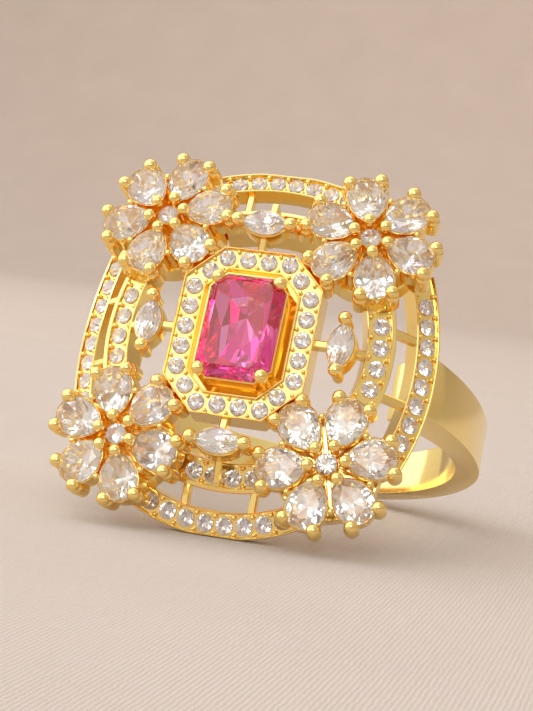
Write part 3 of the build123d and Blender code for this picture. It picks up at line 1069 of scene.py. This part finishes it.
def stone_crown(name, first, second, index):
    """The clear front of a stone, with a slight drift of colour and a polished surface."""
    material, tree, shader = new_material(name)
    where = object_coordinates(tree)
    shader.inputs["Transmission Weight"].default_value = 1.0
    shader.inputs["IOR"].default_value = index
    tone = noise(tree, where, scale=700, detail=1.0)
    tree.links.new(blend_colours(tree, tone, first, second), shader.inputs["Base Color"])
    haze = noise(tree, where, scale=3000, detail=2.0)
    tree.links.new(spread(tree, haze, 0.0, 0.03), shader.inputs["Roughness"])
    bumped(tree, shader, noise(tree, where, scale=2500, detail=2.0), 0.05, distance=0.00001)
    return material


def stone_back_painted_reflections(name, stops, roughness, mirror):
    """The bright back facets of a stone, each with its own painted reflection tone; mirror is their metal
    share.
    """
    material, tree, shader = new_material(name)
    where = object_coordinates(tree)
    shader.inputs["Metallic"].default_value = mirror
    facet = tree.nodes.new("ShaderNodeAttribute")
    facet.attribute_name = "facet"
    tree.links.new(ramp_between(tree, facet.outputs["Fac"], 0, 1, stops), shader.inputs["Base Color"])
    haze = noise(tree, where, scale=3000, detail=2.0)
    tree.links.new(spread(tree, haze, roughness * 0.5, roughness * 1.5), shader.inputs["Roughness"])
    bumped(tree, shader, noise(tree, where, scale=1800, detail=2.0), 0.1, distance=0.00001)
    return material


def clear_stone():
    """Colourless stone: painted reflections make most facets white, some peach, lilac or brown."""
    crown = stone_crown("clear_crown", (1.0, 1.0, 1.0), (1.0, 0.98, 0.99), 1.6)
    # Painted reflections: the stone has no colour, so these facet tones stand in for what its facets
    # reflect.
    stops = [
        (0.0, (0.62, 0.54, 0.48)), (0.10, (0.90, 0.86, 0.82)), (0.22, (0.97, 0.97, 0.97)),
        (0.45, (1.0, 1.0, 1.0)), (0.84, (1.0, 1.0, 1.0)), (0.93, (0.86, 0.83, 0.97)),
        (1.0, (1.0, 0.90, 0.84)),
    ]
    return crown, stone_back_painted_reflections("clear_back_painted_reflections", stops, 0.04, 0.72)


def pink_stone():
    """Pink stone: its own pink, with painted dark and bright reflections that make crimson, magenta and
    light pink facets.
    """
    crown = stone_crown("pink_crown", (0.97, 0.62, 0.78), (0.98, 0.68, 0.84), 1.7)
    # The stone's own pink, spread per facet into painted dark and bright reflections.
    stops = [
        (0.0, (0.55, 0.0, 0.08)), (0.2, (0.85, 0.03, 0.30)), (0.45, (1.0, 0.18, 0.62)),
        (0.65, (1.0, 0.42, 0.85)), (0.85, (1.0, 0.62, 0.78)), (1.0, (1.0, 0.48, 0.42)),
    ]
    return crown, stone_back_painted_reflections("pink_back_painted_reflections", stops, 0.03, 0.8)


def cloth():
    """A pale cream cloth of fine crossed threads."""
    material, tree, shader = new_material("pale_cloth")
    where = object_coordinates(tree)
    shader.inputs["Roughness"].default_value = 0.75
    shader.inputs["Sheen Weight"].default_value = 0.3
    tone = noise(tree, where, scale=60, detail=3.0)
    colour = blend_colours(tree, tone, (0.54, 0.475, 0.45), (0.60, 0.53, 0.505))
    tree.links.new(colour, shader.inputs["Base Color"])
    threads = tree.nodes.new("ShaderNodeMath")
    threads.operation = "MULTIPLY"
    for socket, direction in zip(threads.inputs, ("X", "Y")):
        weave = tree.nodes.new("ShaderNodeTexWave")
        weave.bands_direction = direction
        weave.inputs["Scale"].default_value = THREAD_SCALE
        weave.inputs["Distortion"].default_value = 2.5
        weave.inputs["Detail"].default_value = 2
        tree.links.new(where, weave.inputs["Vector"])
        tree.links.new(weave.outputs["Fac"], socket)
    bumped(tree, shader, threads.outputs["Value"], 0.5, distance=0.0001)
    return material


# ==== Studio ====
def sweep_floor(material):
    """A floor that curves up into a backdrop far behind the ring."""
    half_width = 0.9
    front = -0.7
    reach = 0.55
    bend = 0.25
    steps = 12
    top = 1.2
    profile = [(front, 0.0), (reach, 0.0)]
    for i in range(1, steps + 1):
        angle = math.radians(90 * i / steps)
        profile.append((reach + bend * math.sin(angle), bend * (1 - math.cos(angle))))
    profile.append((reach + bend, top))
    bm = bmesh.new()
    loft(bm, [[(x, y, z) for y, z in profile] for x in (-half_width, half_width)], closed=False)
    new_object("studio_sweep", bm, material, smooth=True)


def area_light(name, place, target, size, power, colour):
    """A soft round lamp that faces its target, in metres and watts."""
    data = bpy.data.lights.new(name, "AREA")
    data.shape = "DISK"
    data.size = size
    data.energy = power
    data.color = colour
    lamp = bpy.data.objects.new(name, data)
    lamp.location = place
    lamp.rotation_euler = (Vector(target) - Vector(place)).to_track_quat("-Z", "Y").to_euler()
    bpy.context.scene.collection.objects.link(lamp)


def ramp_between(tree, value, low, high, stops):
    """A colour ramp over a value that runs from low to high."""
    scaled = tree.nodes.new("ShaderNodeMapRange")
    scaled.inputs["From Min"].default_value = low
    scaled.inputs["From Max"].default_value = high
    tree.links.new(value, scaled.inputs["Value"])
    ramp = tree.nodes.new("ShaderNodeValToRGB")
    first, last = ramp.color_ramp.elements
    first.position, first.color = stops[0][0], (*stops[0][1], 1)
    last.position, last.color = stops[-1][0], (*stops[-1][1], 1)
    for position, colour in stops[1:-1]:
        ramp.color_ramp.elements.new(position).color = (*colour, 1)
    tree.links.new(scaled.outputs["Result"], ramp.inputs["Fac"])
    return ramp.outputs["Color"]


def studio_world(onlooker):
    """A bright room: white overhead and to the left, warm low on the right, dark at the onlooker."""
    world = bpy.data.worlds.new("studio")
    world.use_nodes = True
    tree = world.node_tree
    where = tree.nodes.new("ShaderNodeTexCoord").outputs["Generated"]
    split = tree.nodes.new("ShaderNodeSeparateXYZ")
    tree.links.new(where, split.inputs["Vector"])
    rise = ramp_between(
        tree, split.outputs["Z"], -1, 1,
        [(0.30, (0.50, 0.36, 0.24)), (0.56, (0.86, 0.76, 0.64)), (0.80, (1.0, 0.98, 0.95))],
    )
    side = ramp_between(
        tree, split.outputs["X"], -1, 1,
        [(0.20, (1.25, 1.22, 1.18)), (0.55, (1.0, 0.98, 0.95)), (0.85, (0.80, 0.72, 0.62))],
    )
    toward = tree.nodes.new("ShaderNodeVectorMath")
    toward.operation = "DOT_PRODUCT"
    tree.links.new(where, toward.inputs[0])
    toward.inputs[1].default_value = onlooker
    spot = ramp_between(
        tree, toward.outputs["Value"], 0.9, 1.0,
        [(0.0, (1, 1, 1)), (0.70, (1, 1, 1)), (0.84, (0.12, 0.09, 0.07)), (1.0, (0.08, 0.06, 0.05))],
    )
    room = multiplied(tree, multiplied(tree, rise, side), spot)
    background = tree.nodes["Background"]
    background.inputs["Strength"].default_value = 0.78
    tree.links.new(room, background.inputs["Color"])
    bpy.context.scene.world = world


def camera():
    """Places the camera from the halo's middle; gives the direction from the ring to it."""
    to_right = math.radians(13.96)
    below = math.radians(18.36)
    roll = math.radians(12.0)
    distance = 82.02
    aim_right, aim_up = 1.07, -1.05
    level_share = math.cos(below)
    back = Vector((math.sin(to_right) * level_share, -math.sin(below), math.cos(to_right) * level_share))
    level = Vector((math.cos(to_right), 0, -math.sin(to_right)))
    upright = back.cross(level)
    right = level * math.cos(roll) + upright * math.sin(roll)
    up = back.cross(right)
    eye = middle_of(stones_of("halo_stones")) + back * distance + right * aim_right + up * aim_up
    turn = Matrix((right, up, back)).transposed().to_4x4()
    data = bpy.data.cameras.new("camera")
    data.sensor_width = 36
    data.lens = 90.7
    data.clip_start = 0.005
    data.clip_end = 10
    view = bpy.data.objects.new("camera", data)
    world_turn = RING.to_3x3().normalized().to_4x4() @ turn
    view.matrix_world = Matrix.Translation(RING @ eye) @ world_turn
    bpy.context.scene.collection.objects.link(view)
    bpy.context.scene.camera = view
    return world_turn.col[2].to_3d()


# ==== The whole scene ====
def build_ring():
    setting = gold("setting_gold", (1.0, 0.79, 0.32), (0.95, 0.68, 0.22), roughness=0.15, bump=0.16)
    band = gold("band_gold", (1.0, 0.83, 0.37), (1.0, 0.77, 0.29), roughness=0.11, bump=0.05)
    clear = clear_stone()
    centre_stone(pink_stone())
    centre_basket(setting)
    halo_frame(setting)
    round_stones("halo_stones", clear)
    for side in SIDES:
        for kind in ("outer", "inner"):
            strip(kind, side, setting)
            round_stones(f"{kind}_arc_stones_{side}", clear)
        marquise_stone(side, clear)
        marquise_setting(side, setting)
    for corner in CORNERS:
        petal_stones(corner, clear)
        round_stones(f"flower_stone_{corner}", clear)
        flower_base(corner, setting)
        flower_setting(corner, setting)
    for node in ("arc_bars", "marquise_bars", "corner_bars"):
        bars(node, setting)
    shank(band)


def studio_lights():
    """A wide key from the upper left, a small lamp in front, and a warm one on the backdrop."""
    ring = (0, 0, 0.008)
    area_light("key", (-0.28, -0.08, 0.30), ring, 0.85, 1.9, (1.0, 0.96, 0.89))
    area_light("backdrop", (0.0, 0.30, 0.60), (0, 0.80, 0.10), 0.5, 1.3, (1.0, 0.74, 0.50))
    area_light("front", (0.05, -0.40, 0.20), ring, 0.16, 0.32, (1.0, 0.97, 0.94))


random.seed(7)
build_ring()
sweep_floor(cloth())
studio_world(camera())
studio_lights()
scene = bpy.context.scene
scene.view_settings.view_transform = "Standard"
scene.cycles.max_bounces = 24
scene.cycles.glossy_bounces = 16
scene.cycles.transmission_bounces = 24
